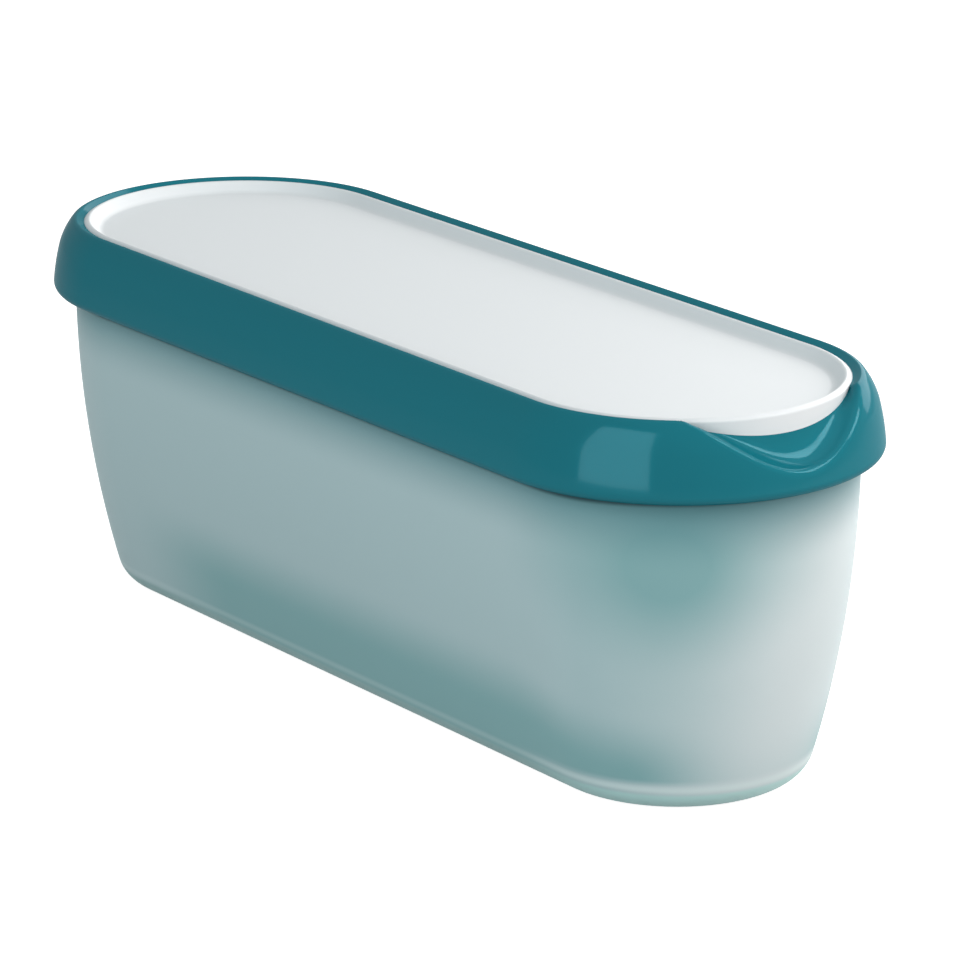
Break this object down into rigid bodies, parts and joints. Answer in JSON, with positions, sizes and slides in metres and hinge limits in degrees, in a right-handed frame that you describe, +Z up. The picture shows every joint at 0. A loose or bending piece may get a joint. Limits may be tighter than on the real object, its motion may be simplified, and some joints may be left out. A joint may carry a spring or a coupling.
{
  "type": "reusable ice cream tub",
  "caption": "Long insulated ice cream tub with rounded ends, a frosted body and a dished white lid whose soft rim has a thumb scoop at one end.",
  "frame": {"origin": "middle of the footprint, on the surface that the tub stands on", "axes": "+Z up, +X along the tub towards the thumb scoop of the lid"},
  "size_m": [0.291, 0.101, 0.102],
  "materials": {
    "frosted_tub": "frosted translucent polypropylene, pale grey-green, fine satin moulded surface",
    "soft_rim": "teal thermoplastic rubber, satin with soft highlights",
    "white_lid": "white polypropylene, satin on the floor, smoother on the border"
  },
  "bodies": {
    "root": {"tub_body": "frosted_tub", "lid_rim": "soft_rim", "lid_panel": "white_lid"}
  },
  "joints": []
}
